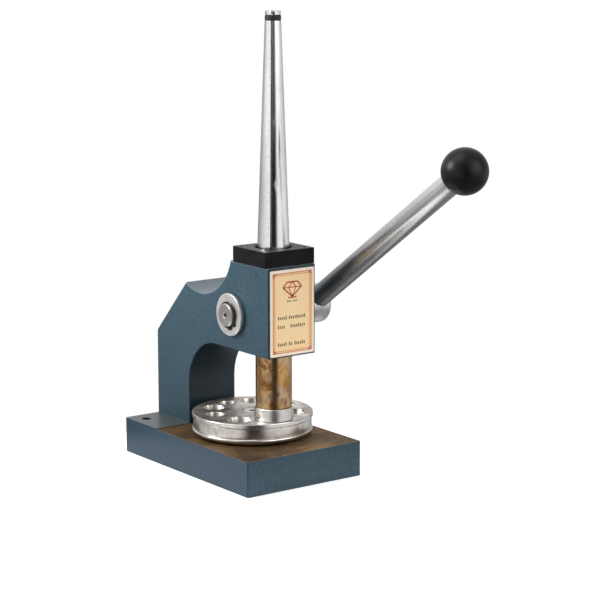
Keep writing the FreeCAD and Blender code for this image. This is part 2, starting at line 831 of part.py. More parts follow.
def retaining_ring():
    """An open ring with two eyes, in the groove at the thin end of the shaft."""
    body = lever_body("retaining_ring")
    start = d["flange_face"] - d["running_fit"] - d["ring_thickness"]
    plan = sketch_on(body, "YZ_Plane", (0, 0, start))
    circle(plan, d["ring_radius"])
    circle(plan, d["journal_radius"] - 0.48)
    extrude(body, "Pad", plan, d["ring_thickness"])

    gap_half = 7
    reach = 16
    corners = [(0, 0)]
    for side in (-1, 1):
        angle = math.radians(DIMENSIONS["ring_gap_angle"] + side * gap_half)
        corners.append((reach * math.cos(angle), reach * math.sin(angle)))
    gap = sketch_on(body, "YZ_Plane", (0, 0, start + d["ring_thickness"] / 2))
    outline(gap, corners)
    extrude(body, "Pocket", gap, 4, midplane=True)

    eye_angles = [math.radians(DIMENSIONS["ring_gap_angle"] + side * (gap_half + 10)) for side in (-1, 1)]
    eye_line = d["ring_radius"].value - 0.05
    for kind, radius, length in (("Pad", 1.6, d["ring_thickness"]), ("Pocket", 0.6, Size(4))):
        eyes = sketch_on(body, "YZ_Plane", (0, 0, start + d["ring_thickness"] / 2))
        for angle in eye_angles:
            circle(eyes, radius, eye_line * math.cos(angle), eye_line * math.sin(angle))
        extrude(body, kind, eyes, length, midplane=True)
    return body


def lever_rod():
    body = lever_body("lever_rod")
    shoulder = d["ball_distance"] - d["ball_flat"]
    rod = d["rod_radius"]
    turn(body, [
        (0, d["rod_seat"]),
        (rod - 1, d["rod_seat"]),
        (rod, d["rod_seat"] + 1),
        (rod, shoulder - 0.8),
        (rod - 0.8, shoulder),
        (d["spigot_radius"], shoulder),
        (d["spigot_radius"], shoulder + d["spigot_length"]),
        (0, shoulder + d["spigot_length"]),
    ], (d["lever_x"], 0, 0))
    return body


def lever_set_screw():
    body = lever_body("lever_set_screw")
    turn(body, [
        (d["rod_radius"], 0),
        (d["hub_radius"] - 0.5, 0),
        (d["hub_radius"] - 0.5, 2.6),
        (d["hub_radius"] - 0.9, 3.0),
        (d["rod_radius"] + 0.4, 3.0),
        (d["rod_radius"], 2.6),
    ], (0, 0, d["lever_x"]), axis="H_Axis", plane="YZ_Plane")
    socket = sketch_on(body, "XZ_Plane", (d["lever_x"], 0, -d["hub_radius"]))
    hexagon(socket, 3.0)
    extrude(body, "Pocket", socket, 3, reverse=True)
    return body


def ball_knob():
    body = lever_body("ball_knob")
    flat = d["ball_distance"] - d["ball_flat"]
    seat = d["spigot_radius"] + 2
    turn(body, [
        (seat, flat),
        (other_leg(d["ball_radius"], d["ball_flat"]), flat, d["ball_radius"]),
        (0, d["ball_distance"] + d["ball_radius"]),
        (0, flat + d["spigot_length"] + 3),
        (seat, flat + d["spigot_length"] + 3),
    ], (d["lever_x"], 0, 0))
    return body


def ball_insert():
    """The threaded metal bush moulded into the ball."""
    body = lever_body("ball_insert")
    flat = d["ball_distance"] - d["ball_flat"]
    outside = d["spigot_radius"] + 2 - d["tight_fit"]
    inside = d["spigot_radius"] + d["tight_fit"]
    turn(body, [
        (inside, flat + 0.1),
        (outside, flat + 0.1),
        (outside, flat + d["spigot_length"] + 2.5),
        (inside, flat + d["spigot_length"] + 2.5),
    ], (d["lever_x"], 0, 0))
    return body


# ------------------------------------------------------------------ die plate
def die_plate():
    body = new_body("die_plate", (d["die_x"], d["die_y"], 0))
    bore = d["pivot_radius"] + d["running_fit"]
    counterbore = d["pivot_head"] + 0.2
    step = d["die_top"] - 5.1
    low = d["die_bottom"]
    high = d["die_top"]
    rim = d["die_radius"]
    waist = d["die_waist"]
    turn(body, [
        (bore, low),
        (rim - 2.5, low, Size(2.5)),
        (rim, low + 2.5),
        (rim, low + 2.7, Size(1.3)),
        (rim - 1.3, low + 4.0),
        (waist - 0.5, low + 4.0),
        (waist - 0.5, low + 4.4),
        (waist, low + 4.7),
        (waist, high - 3.9),
        (waist - 0.5, high - 3.6),
        (waist - 0.5, high - 3.3),
        (rim, high - 3.1),
        (rim, high - 0.7, Size(0.7)),
        (rim - 0.7, high),
        (counterbore, high),
        (counterbore, step),
        (bore, step),
    ])
    for mouth, direction in DIE_HOLES:
        small = mouth / 2 * DIE_HOLE_BORE
        place = (d["die_pitch"] * cosine(direction), 0, -d["die_pitch"] * sine(direction))
        turn(body, [
            (0, low - 1),
            (small, low - 1),
            (small, high - DIE_HOLE_DEPTH),
            (mouth / 2, high),
            (mouth / 2, high + 1),
            (0, high + 1),
        ], place, cut=True)
    return body


def die_spacer():
    """The washer that holds the die plate clear of the base."""
    body = new_body("die_spacer", (d["die_x"], d["die_y"], 0))
    bore = d["pivot_radius"] + d["running_fit"]
    floor = d["base_height"] - d["milled_depth"]
    ceiling = d["die_bottom"] - d["running_fit"]
    turn(body, [(bore, floor), (15, floor), (15, ceiling), (bore, ceiling)])
    return body


def die_pivot_bolt():
    """A shoulder bolt with a flush head, on which the die plate turns."""
    body = new_body("die_pivot_bolt", (d["die_x"], d["die_y"], 0))
    floor = d["base_height"] - d["milled_depth"]
    head_low = d["die_top"] - 5.0
    head_high = d["die_top"] - 0.1
    turn(body, [
        (0, d["pivot_tip"]),
        (d["pivot_thread"] - 0.4, d["pivot_tip"]),
        (d["pivot_thread"], d["pivot_tip"] + 0.4),
        (d["pivot_thread"], floor),
        (d["pivot_radius"], floor),
        (d["pivot_radius"], head_low),
        (d["pivot_head"], head_low),
        (d["pivot_head"], head_high - 0.5),
        (d["pivot_head"] - 0.5, head_high),
        (0, head_high),
    ])
    socket = sketch_on(body, "XY_Plane", (0, 0, head_high))
    hexagon(socket, 5.0)
    extrude(body, "Pocket", socket, 2.8)
    return body


# ------------------------------------------------------------------ build, check and write
def build_parts():
    parts = [
        frame_casting(), name_plate(), mandrel_plate(), plate_screws(),
        left_bush(), die_spacer(), die_pivot_bolt(), die_plate(),
        pinion_shaft(), retaining_ring(), lever_rod(), lever_set_screw(), ball_knob(), ball_insert(),
        rack_ram(), press_foot(), foot_screw(), draw_bar(), draw_bar_nut(),
        mandrel_band(), mandrel_base_spring(),
    ]
    parts += [mandrel_segment(number) for number in range(1, SEGMENTS + 1)]
    doc.recompute()
    return parts


def check_document(parts):
    """Stop on any failed object, any cut that removes nothing and any bad sub-part."""
    for item in doc.Objects:
        if {"Invalid", "Error"} & set(item.State):
            raise RuntimeError(f"{item.Label} failed: {item.State}")
        if item.TypeId in ("PartDesign::Pocket", "PartDesign::Groove"):
            if item.Shape.Volume > item.BaseFeature.Shape.Volume - 0.001:
                raise RuntimeError(f"{item.Name} cuts nothing")
    for part in parts:
        if part.Shape.isNull() or not part.Shape.isValid():
            raise RuntimeError(f"{part.Label} has no valid shape")


def write_parts(parts):
    os.makedirs("parts", exist_ok=True)
    for part in parts:
        part.Shape.exportStep(os.path.join("parts", f"{part.Label}.step"))
        box = part.Shape.BoundBox
        print(f"{part.Label:22s} solids {len(part.Shape.Solids)}  volume {part.Shape.Volume:10.1f}"
              f"  z {box.ZMin:7.2f} to {box.ZMax:7.2f}")


all_parts = build_parts()
check_document(all_parts)
write_parts(all_parts)
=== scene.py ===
import math

import bmesh
import bpy
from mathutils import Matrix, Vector


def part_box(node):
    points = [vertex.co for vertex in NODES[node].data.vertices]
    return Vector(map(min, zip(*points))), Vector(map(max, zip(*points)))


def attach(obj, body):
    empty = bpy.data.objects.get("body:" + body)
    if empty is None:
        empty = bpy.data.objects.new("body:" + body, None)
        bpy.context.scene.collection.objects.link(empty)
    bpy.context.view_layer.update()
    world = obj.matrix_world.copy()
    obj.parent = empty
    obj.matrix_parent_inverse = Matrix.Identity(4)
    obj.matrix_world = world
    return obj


# Metres, +Z up, front towards -Y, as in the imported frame. Only the name plate's print is laid
# out in millimetres.
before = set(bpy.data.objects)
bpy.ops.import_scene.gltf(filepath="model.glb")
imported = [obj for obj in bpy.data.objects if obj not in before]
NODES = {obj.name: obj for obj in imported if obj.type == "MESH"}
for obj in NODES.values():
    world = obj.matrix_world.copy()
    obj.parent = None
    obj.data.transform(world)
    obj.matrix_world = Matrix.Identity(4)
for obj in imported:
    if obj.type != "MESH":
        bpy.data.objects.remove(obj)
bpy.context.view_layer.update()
MM = 0.001


def centre_of(node):
    """The middle of a CAD node's box."""
    low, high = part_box(node)
    return (low + high) / 2


# ------------------------------------------------------------------ node material helper
ROUND_SAMPLES = 4
EDGE_SAMPLES = 6
EDGE_COSINES = (0.98, 0.75)       # between the flat and the rounded normal


class Shade:
    """One procedural material, built a node at a time."""

    def __init__(self, name, **sockets):
        self.material = bpy.data.materials.new(name)
        self.material.use_nodes = True
        self.tree = self.material.node_tree
        self.surface = self.tree.nodes["Principled BSDF"]
        for socket, value in sockets.items():
            self.surface.inputs[socket.replace("_", " ")].default_value = value
        coordinates = self.add("ShaderNodeTexCoord")
        self.place = coordinates.outputs["Object"]
        self.facing = coordinates.outputs["Normal"]

    def add(self, kind, **settings):
        node = self.tree.nodes.new(kind)
        for name, value in settings.items():
            setattr(node, name, value)
        return node

    def feed(self, socket, value):
        if isinstance(value, bpy.types.NodeSocket):
            self.tree.links.new(value, socket)
        else:
            socket.default_value = value

    def set(self, socket, value):
        self.feed(self.surface.inputs[socket], value)

    def current(self, socket):
        """What already feeds that socket of the surface."""
        return self.surface.inputs[socket].links[0].from_socket

    def math(self, operation, *values):
        node = self.add("ShaderNodeMath", operation=operation)
        for socket, value in zip(node.inputs, values):
            self.feed(socket, value)
        return node.outputs[0]

    def times(self, product, *factors):
        for factor in factors:
            product = self.math("MULTIPLY", product, factor)
        return product

    def under(self, value, limit):
        """1 where the value is under the limit and 0 elsewhere."""
        return self.math("LESS_THAN", value, limit)

    def over(self, value, limit):
        """1 where the value is over the limit and 0 elsewhere."""
        return self.math("GREATER_THAN", value, limit)

    def axes(self, vector=None):
        node = self.add("ShaderNodeSeparateXYZ")
        self.feed(node.inputs[0], vector or self.place)
        return node.outputs

    def joined(self, x, y, z):
        node = self.add("ShaderNodeCombineXYZ")
        for socket, value in zip(node.inputs, (x, y, z)):
            self.feed(socket, value)
        return node.outputs[0]

    def moved(self, scale=(1, 1, 1), offset=(0, 0, 0)):
        """The place of the surface point, scaled and then shifted."""
        node = self.add("ShaderNodeMapping")
        self.feed(node.inputs["Vector"], self.place)
        node.inputs["Location"].default_value = offset
        node.inputs["Scale"].default_value = scale
        return node.outputs[0]

    def noise(self, scale, detail=3.0, roughness=0.5, vector=None, distortion=0.0):
        node = self.add("ShaderNodeTexNoise")
        self.feed(node.inputs["Vector"], vector or self.place)
        node.inputs["Scale"].default_value = scale
        node.inputs["Detail"].default_value = detail
        node.inputs["Roughness"].default_value = roughness
        node.inputs["Distortion"].default_value = distortion
        return node.outputs["Fac"]

    def ramp(self, value, *stops):
        """A colour ramp through (position, colour) stops."""
        node = self.add("ShaderNodeValToRGB")
        elements = node.color_ramp.elements
        while len(elements) < len(stops):
            elements.new(1.0)
        for element, (position, colour) in zip(elements, stops):
            element.position = position
            element.color = (*colour, 1.0)
        self.feed(node.inputs[0], value)
        return node.outputs[0]

    def grade(self, value, low, high, to_low=0.0, to_high=1.0):
        """The value carried from low..high to to_low..to_high, and held at the ends."""
        node = self.add("ShaderNodeMapRange", clamp=True)
        for socket, number in zip(node.inputs, (value, low, high, to_low, to_high)):
            self.feed(socket, number)
        return node.outputs[0]

    def mix(self, factor, first, second, blend="MIX"):
        node = self.add("ShaderNodeMix", data_type="RGBA", blend_type=blend)
        self.feed(node.inputs[0], factor)
        for socket, value in ((node.inputs[6], first), (node.inputs[7], second)):
            self.feed(socket, (*value, 1.0) if isinstance(value, tuple) else value)
        return node.outputs[2]

    def bump(self, height, distance, strength, normal=None):
        node = self.add("ShaderNodeBump")
        node.inputs["Strength"].default_value = strength
        node.inputs["Distance"].default_value = distance
        self.feed(node.inputs["Height"], height)
        if normal is not None:
            self.feed(node.inputs["Normal"], normal)
        return node.outputs[0]

    def rounded(self, radius, samples=ROUND_SAMPLES):
        """The normal as if every edge were rounded by that radius."""
        node = self.add("ShaderNodeBevel", samples=samples)
        node.inputs["Radius"].default_value = radius
        return node.outputs[0]

    def edges(self, radius):
        """1 close to an edge and 0 away from it."""
        flat = self.add("ShaderNodeNewGeometry").outputs["Normal"]
        node = self.add("ShaderNodeVectorMath", operation="DOT_PRODUCT")
        self.feed(node.inputs[0], self.rounded(radius, EDGE_SAMPLES))
        self.feed(node.inputs[1], flat)
        return self.grade(node.outputs["Value"], *EDGE_COSINES)

    def band(self, value, low, high, soft):
        """1 between low and high, falling to 0 over soft."""
        rise = self.grade(value, low - soft, low)
        fall = self.grade(value, high, high + soft, 1.0, 0.0)
        return self.times(rise, fall)

    def radius_from(self, axis, centre):
        """Distance of the surface point from a line along the axis through the centre."""
        parts = self.axes(self.moved(offset=[-c for c in centre]))
        across = [parts[k] for k in range(3) if k != "XYZ".index(axis)]
        squares = [self.times(part, part) for part in across]
        return self.math("SQRT", self.math("ADD", *squares))


def dress(shade, *names):
    """Give the material to those CAD nodes."""
    for name in names:
        mesh = NODES[name].data
        mesh.materials.clear()
        mesh.materials.append(shade.material)


# ------------------------------------------------------------------ the casting
MILLED_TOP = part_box("die_spacer")[0].z                # the washer lies on the milled face
OVER_BASE = MILLED_TOP + 0.0007                       # just over the painted top of the base
COLUMN_FRONT = 0.0365                                 # the milled face ends here
THROAT_FRONT = -0.028                                 # the arch lies behind this
THROAT_LOW = MILLED_TOP - 0.0005                      # and above this
HEAD_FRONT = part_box("name_plate")[1].y + 0.0004       # just behind the head's front face
HEAD_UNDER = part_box("name_plate")[0].z - 0.003        # just under the head
UPPER_FACES = 0.12                                    # painted light on upward faces starts above this
PAINT_FADE = (0.130, 0.045)                           # heights where the paint gets darker


def speckled_paint(s, mottle, grain):
    """Slate blue with darker and lighter grains, rubbed down to iron along the edges."""
    paint = s.ramp(mottle, (0.3, (0.030, 0.067, 0.094)), (0.7, (0.041, 0.084, 0.112)))
    paint = s.mix(s.grade(grain, 0.36, 0.52, 0.45, 0.0), paint, (0.015, 0.036, 0.054))
    paint = s.mix(s.grade(grain, 0.50, 0.64, 0.0, 0.50), paint, (0.064, 0.112, 0.142))
    edge = s.times(s.edges(0.0012), s.grade(s.noise(240, 4, 0.7), 0.40, 0.64))
    return s.mix(s.times(edge, 0.6), paint, (0.25, 0.26, 0.26))


def paint_shading(s, paint):
    """The paint with painted shade, sheen and light on parts of the casting, and darker towards
    the bottom.
    """
    _, y, z = s.axes()
    facing_x, facing_y, facing_z = s.axes(s.facing)
    # painted shade: the head's front face is darkened
    nose = s.times(s.under(y, HEAD_FRONT), s.over(z, HEAD_UNDER))
    paint = s.mix(s.times(nose, 0.55), paint, (0.012, 0.016, 0.017))
    # painted shade: the inward faces inside the throat are darkened
    inward = s.grade(s.math("ADD", facing_y, facing_z), -0.3, -0.7)
    throat = s.times(inward, s.over(y, THROAT_FRONT), s.over(z, THROAT_LOW))
    paint = s.mix(s.times(throat, 0.95), paint, (0.003, 0.011, 0.015))
    paint = s.mix(s.grade(z, *PAINT_FADE, 0.0, 0.50), paint, (0.012, 0.030, 0.044))
    # painted shade: the left face of the base is darkened
    left_of_base = s.times(s.grade(facing_x, -0.5, -0.8), s.under(z, OVER_BASE))
    paint = s.mix(left_of_base, paint, (0.42, 0.58, 0.69), "MULTIPLY")
    # painted sheen: the upward faces of the base's painted ledge are greyed
    ledge = s.times(s.grade(facing_z, 0.85, 0.95), s.under(z, OVER_BASE))
    paint = s.mix(s.times(ledge, 0.55), paint, (0.085, 0.080, 0.072))
    # painted light: upward faces high on the head are lightened
    lit_top = s.times(s.grade(facing_z, 0.2, 0.7), s.over(z, UPPER_FACES))
    return s.mix(s.times(lit_top, 0.5), paint, (0.21, 0.23, 0.24))


def milled_face(s):
    """1 on the bare top of the base in front of the column, 0 on the paint."""
    _, y, z = s.axes()
    upward = s.grade(s.axes(s.facing)[2], 0.85, 0.95)
    return s.times(upward, s.under(y, COLUMN_FRONT), s.under(z, OVER_BASE))


def rusty_iron(s, strokes, stain):
    """Brown iron with pits and milling strokes, golden round its rim, with painted shade at the
    left and a painted sheen at the right."""
    x = s.axes()[0]
    rust = s.ramp(stain, (0.36, (0.024, 0.013, 0.004)), (0.49, (0.070, 0.038, 0.013)),
                  (0.62, (0.170, 0.092, 0.032)))
    pitting = s.noise(420, 4, 0.7)
    rust = s.mix(s.grade(pitting, 0.50, 0.64, 0.0, 0.55), rust, (0.21, 0.115, 0.036))
    rust = s.mix(s.grade(strokes, 0.35, 0.7, 0.0, 0.3), rust, (0.14, 0.085, 0.034))
    # painted shade: darker at the left, beside the throat
    rust = s.mix(s.grade(x, -0.045, 0.005, 0.5, 0.0), rust, (0.026, 0.014, 0.004))
    # painted sheen: lighter at the right
    rust = s.mix(s.grade(x, -0.01, 0.045, 0.0, 0.40), rust, (0.17, 0.102, 0.048))
    return s.mix(s.times(s.edges(0.0016), 0.7), rust, (0.40, 0.26, 0.13))


def casting_paint():
    """Slate blue satin paint on iron, with a bare milled face on the front of the base."""
    s = Shade("casting_paint", Coat_Weight=0.04, Coat_Roughness=0.25, Specular_IOR_Level=0.25)
    mottle = s.noise(28, 4, 0.6)
    grain = s.noise(620, 3, 0.65)
    peel = s.noise(330, 2, 0.5)
    strokes = s.noise(1.0, 3, 0.6, s.moved((45, 2600, 1)))
    stain = s.noise(34, 5, 0.62, distortion=0.6)
    paint = paint_shading(s, speckled_paint(s, mottle, grain))
    milled = milled_face(s)
    s.set("Base Color", s.mix(milled, paint, rusty_iron(s, strokes, stain)))
    s.set("Metallic", s.times(milled, 0.2))
    paint_rough = s.grade(mottle, 0.3, 0.7, 0.34, 0.44)
    iron_rough = s.grade(stain, 0.3, 0.7, 0.78, 0.58)
    s.set("Roughness", s.grade(milled, 0.0, 1.0, paint_rough, iron_rough))
    height = s.math("ADD", s.times(grain, 0.35), peel)
    height = s.grade(milled, 0.0, 1.0, height, strokes)
    s.set("Normal", s.bump(height, 0.00006, 0.55, s.rounded(0.0005)))
    return s


# ------------------------------------------------------------------ metals
RING_SCALE = 2600                                     # how fine the turned rings are
RING_DEPTH = 0.00001
DIE_RIM = 0.0035                                      # solid metal outside the ring of holes
TICK_PITCH = 0.0062                                   # between two size marks of the mandrel
MARKS_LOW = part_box("mandrel_plate")[1].z + 0.0083
MARKS_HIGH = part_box("mandrel_band")[0].z - 0.00875
TICK_ANGLES = (math.radians(-150.5), math.radians(-141.5))
GUIDE_ANGLES = (math.radians(-143.5), math.radians(-141.5))
RAM_FADE = (0.105, 0.070)                             # heights where the tarnish wears off


def black_steel():
    """The black top plate: satin on its sides and polished on its face, which carries a painted
    grey sheen.
    """
    s = Shade("black_steel", Specular_IOR_Level=0.08)
    lines = s.noise(1.0, 3, 0.6, s.moved((30, 30, 1500)))
    cloud = s.noise(120, 4, 0.6)
    upward = s.grade(s.axes(s.facing)[2], 0.80, 0.95)
    black = s.ramp(cloud, (0.3, (0.006, 0.006, 0.006)), (0.7, (0.011, 0.011, 0.011)))
    # painted sheen: the top face is lightened to grey
    black = s.mix(upward, black, (0.040, 0.039, 0.037))
    edge = s.times(s.edges(0.0006), s.grade(cloud, 0.3, 0.6, 0.4, 1.0))
    s.set("Base Color", s.mix(s.times(edge, 0.35), black, (0.12, 0.12, 0.12)))
    s.set("Roughness", s.grade(cloud, 0.25, 0.75, 0.34, 0.46))
    s.set("Normal", s.bump(lines, 0.00003, 0.5, s.rounded(0.0004)))
    return s


def turned_metal(name, colour, dark, axis, centre, rough=(0.24, 0.36), wear=0.4, fine=1.0,
                 face_rough=0.0, blotch=0.0):
    """Metal turned about an axis: fine rings round it, faint stains and bright edges. The flat
    faces can be rougher, and blotch adds brown patches, mostly on them."""
    s = Shade(name, Metallic=1.0)
    along = s.axes(s.moved(offset=[-c for c in centre]))["XYZ".index(axis)]
    radius = s.radius_from(axis, centre)
    rings = s.noise(RING_SCALE, 4, 0.65, s.joined(radius, 0.0, along))
    broad = s.noise(RING_SCALE / 9, 2, 0.5, s.joined(radius, 0.0, along))
    stain = s.noise(90, 5, 0.62)
    tone = s.ramp(stain, (0.34, dark), (0.56, colour))
    tone = s.mix(s.grade(rings, 0.35, 0.75, 0.0, 0.35 * fine), tone, dark)
    square = s.math("ABSOLUTE", s.axes(s.facing)["XYZ".index(axis)])
    patches = s.grade(s.noise(42, 5, 0.6, distortion=0.9), 0.42, 0.60, 0.0, blotch)
    patches = s.times(patches, s.grade(square, 0.6, 0.9, 0.25, 1.0))
    tone = s.mix(patches, tone, (0.20, 0.145, 0.095))
    tone = s.mix(s.times(s.edges(0.0006), wear), tone, (0.88, 0.87, 0.85))
    s.set("Base Color", tone)
    gloss = s.math("ADD", s.times(stain, 0.5), s.times(rings, 0.5))
    faced = s.grade(square, 0.8, 0.97, 0.0, face_rough)
    s.set("Roughness", s.math("ADD", s.grade(gloss, 0.35, 0.65, *rough), faced))
    height = s.math("ADD", rings, s.times(broad, 0.8))
    s.set("Normal", s.bump(height, RING_DEPTH, 0.7, s.rounded(0.0003)))
    return s


def die_steel():
    """The die plate's steel, with painted shade inside its holes and tarnished round the pivot."""
    low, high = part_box("die_plate")
    centre = (low + high) / 2
    s = turned_metal("die_steel", (0.76, 0.74, 0.71), (0.54, 0.50, 0.45), "Z", centre,
                     rough=(0.17, 0.26), face_rough=0.22, blotch=0.6)
    radius = s.radius_from("Z", centre)
    rim = (high.x - low.x) / 2
    sunk = s.grade(s.axes()[2], high.z - 0.0002, high.z - 0.003)
    inside = s.times(s.under(radius, rim - DIE_RIM), sunk)
    cloud = s.noise(130, 4, 0.6)
    middle = s.times(s.grade(radius, rim * 0.42, rim * 0.12), s.grade(cloud, 0.40, 0.60))
    # painted shade: darker inside the holes
    tone = s.mix(s.times(inside, 0.65), s.current("Base Color"), (0.17, 0.15, 0.13))
    s.set("Base Color", s.mix(s.times(middle, 0.6), tone, (0.22, 0.16, 0.10)))
    s.set("Roughness", s.math("ADD", s.current("Roughness"), s.times(inside, 0.14)))
    return s


def size_marks(s):
    """A guide line up the front left of the mandrel, with a tick across it at every size."""
    axis = centre_of("mandrel_band")
    x, y, z = s.axes(s.moved(offset=(0, -axis.y, 0)))
    angle = s.math("ARCTAN2", y, x)
    tick = s.band(s.math("FRACT", s.math("DIVIDE", z, TICK_PITCH)), 0.46, 0.52, 0.02)
    marked = s.band(z, MARKS_LOW, MARKS_HIGH, 0.0001)
    ticks = s.times(tick, s.band(angle, *TICK_ANGLES, 0.01), marked)
    guide = s.times(s.band(angle, *GUIDE_ANGLES, 0.01), marked, 0.7)
    worn = s.grade(s.noise(150, 3, 0.6), 0.35, 0.6, 0.3, 1.0)
    return s.times(s.math("MAXIMUM", ticks, guide), worn)


def mandrel_chrome():
    """Polished chrome with faint polishing haze and a column of engraved size marks."""
    s = Shade("mandrel_chrome", Metallic=1.0)
    haze = s.noise(60, 4, 0.6, s.moved((1, 1, 0.25)))
    specks = s.noise(900, 2, 0.7)
    rings = s.noise(1.0, 4, 0.6, s.moved((25, 25, 2400)))
    tone = s.ramp(haze, (0.35, (0.72, 0.72, 0.73)), (0.6, (0.86, 0.86, 0.86)))
    tone = s.mix(s.grade(specks, 0.60, 0.72, 0.0, 0.35), tone, (0.45, 0.45, 0.45))
    marks = size_marks(s)
    s.set("Base Color", s.mix(s.times(marks, 0.5), tone, (0.25, 0.25, 0.25)))
    s.set("Roughness", s.grade(haze, 0.3, 0.7, 0.13, 0.19))
    height = s.math("SUBTRACT", s.times(rings, 0.06), marks)
    s.set("Normal", s.bump(height, 0.00002, 0.4, s.rounded(0.0002)))
    return s


def lever_chrome():
    """Chromed bar: polished, duller near the hub, with faint drawn lines, a painted dark
    reflection near the hub, a painted highlight towards the ball and painted shade underneath.
    """
    s = Shade("lever_chrome", Metallic=1.0)
    low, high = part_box("lever_rod")
    haze = s.noise(45, 4, 0.6)
    specks = s.noise(1100, 2, 0.7)
    lines = s.noise(900, 3, 0.6, s.moved((1, 0.04, 0.04)))
    reach = s.grade(s.axes()[2], low.z, high.z, 0.0, 1.0)
    under = s.grade(s.axes(s.facing)[2], -0.55, -0.80)
    tone = s.ramp(haze, (0.35, (0.46, 0.46, 0.47)), (0.62, (0.58, 0.58, 0.59)))
    tone = s.mix(s.grade(specks, 0.62, 0.76, 0.0, 0.12), tone, (0.30, 0.30, 0.30))
    # painted reflection: dark near the hub, where the head is mirrored
    tone = s.mix(s.grade(reach, 0.05, 0.8, 0.94, 0.0), tone, (0.070, 0.078, 0.092))
    # painted highlight: lighter towards the ball
    tone = s.mix(s.grade(reach, 0.4, 1.0, 0.0, 0.7), tone, (0.84, 0.84, 0.84))
    # painted shade: darker on the underside
    tone = s.mix(s.times(under, 0.55), tone, (0.10, 0.10, 0.10))
    s.set("Base Color", tone)
    dull = s.grade(reach, 0.30, 0.72, 0.20, 0.0)
    s.set("Roughness", s.math("ADD", s.grade(haze, 0.3, 0.7, 0.17, 0.23), dull))
    s.set("Normal", s.bump(lines, 0.000002, 0.3))
    return s


def tarnished_ram():
    """Steel with a brown and golden tarnish in blotches, more worn lower down the bar."""
    s = Shade("ram_tarnish", Metallic=1.0)
    streaks = s.noise(120, 5, 0.62, s.moved((1, 1, 0.6)), distortion=0.9)
    blots = s.noise(85, 5, 0.66, s.moved((1, 1, 0.9), (0.3, 0.1, 0.2)), distortion=0.8)
    rings = s.noise(1.0, 3, 0.6, s.moved((20, 20, 1800)))
    tone = s.ramp(streaks, (0.32, (0.15, 0.056, 0.010)), (0.45, (0.38, 0.175, 0.036)),
                  (0.56, (0.53, 0.30, 0.095)), (0.70, (0.60, 0.43, 0.24)))
    bare = s.grade(s.noise(75, 4, 0.55, s.moved((1, 1, 0.8))), 0.44, 0.60, 0.10, 0.62)
    lower = s.grade(s.axes()[2], *RAM_FADE, 0.35, 1.0)
    tone = s.mix(s.times(bare, lower), tone, (0.45, 0.38, 0.27))
    tone = s.mix(s.grade(blots, 0.48, 0.62, 0.0, 0.85), tone, (0.17, 0.066, 0.012))
    s.set("Base Color", tone)
    s.set("Roughness", s.grade(blots, 0.35, 0.7, 0.16, 0.34))
    s.set("Normal", s.bump(s.math("ADD", streaks, s.times(rings, 0.5)), 0.00003, 0.5))
    return s


def dark_metal(name, colour, rough, metallic=0.6):
    """Blackened steel with rubbed edges."""
    s = Shade(name, Metallic=metallic)
    cloud = s.noise(300, 4, 0.65)
    lighter = tuple(c * 1.9 for c in colour)
    tone = s.mix(s.grade(cloud, 0.35, 0.7, 0.0, 0.6), colour, lighter)
    tone = s.mix(s.times(s.edges(0.0003), 0.35), tone, (0.30, 0.29, 0.28))
    s.set("Base Color", tone)
    s.set("Roughness", s.grade(cloud, 0.3, 0.7, *rough))
    s.set("Normal", s.bump(cloud, 0.00002, 0.5, s.rounded(0.00015)))
    return s


# ------------------------------------------------------------------ ball, band and name plate
def ball_black():
    """Satin black phenolic with faint handling marks."""
    s = Shade("ball_black", Specular_IOR_Level=0.22)
    cloud = s.noise(70, 4, 0.6)
    fine = s.noise(1500, 2, 0.6)
    scuff = s.noise(420, 5, 0.72, s.moved((1, 0.3, 1)), distortion=2.0)
    tone = s.ramp(cloud, (0.3, (0.003, 0.003, 0.003)), (0.7, (0.005, 0.005, 0.005)))
    tone = s.mix(s.grade(scuff, 0.66, 0.74, 0.0, 0.25), tone, (0.03, 0.03, 0.03))
    s.set("Base Color", tone)
    s.set("Roughness", s.grade(cloud, 0.3, 0.7, 0.30, 0.36))
    s.set("Normal", s.bump(fine, 0.000006, 0.4))
    return s


def rubber_black():
    """The dark ring near the mandrel's tip."""
    s = Shade("band_black", Specular_IOR_Level=0.35)
    cloud = s.noise(400, 4, 0.6)
    s.set("Base Color", s.ramp(cloud, (0.3, (0.010, 0.010, 0.010)), (0.7, (0.024, 0.023, 0.023))))
    s.set("Roughness", s.grade(cloud, 0.3, 0.7, 0.45, 0.62))
    s.set("Normal", s.bump(cloud, 0.00003, 0.5))
    return s


def label_paper():
    """A printed plate: cream in the middle, warmer towards its edges, pale at the rim."""
    s = Shade("label_print", Coat_Weight=0.15, Coat_Roughness=0.25, Roughness=0.42)
    low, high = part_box("name_plate")
    middle = (low + high) / 2
    x, _, z = s.axes(s.moved(offset=(-middle.x, 0, -middle.z)))
    across = s.math("DIVIDE", s.math("ABSOLUTE", x), (high.x - low.x) / 2)
    up = s.math("DIVIDE", s.math("ABSOLUTE", z), (high.z - low.z) / 2)
    out = s.math("MAXIMUM", across, up)
    cloud = s.noise(110, 3, 0.6)
    dots = s.noise(1800, 2, 0.5)
    warmth = s.math("ADD", s.times(cloud, 0.5), s.times(out, 0.5))
    tone = s.ramp(warmth, (0.25, (0.98, 0.74, 0.41)), (0.75, (0.98, 0.67, 0.35)))
    tone = s.mix(s.grade(out, 0.925, 0.94), tone, (0.96, 0.82, 0.68))
    tone = s.mix(s.grade(dots, 0.5, 0.7, 0.0, 0.12), tone, (0.62, 0.42, 0.24))
    s.set("Base Color", tone)
    s.set("Normal", s.bump(dots, 0.00001, 0.3, s.rounded(0.0002)))
    return s


def ink(name, colour, faded):
    """Printed ink that lets a little of the plate through."""
    s = Shade(name, Roughness=0.5)
    wear = s.noise(900, 4, 0.7)
    s.set("Base Color", s.mix(s.grade(wear, 0.42, 0.62, 0.0, 0.55), colour, faded))
    s.set("Normal", s.bump(wear, 0.000006, 0.4))
    return s


# ------------------------------------------------------------------ every node gets its material
ram_centre = centre_of("rack_ram")
shaft_centre = centre_of("left_bush")

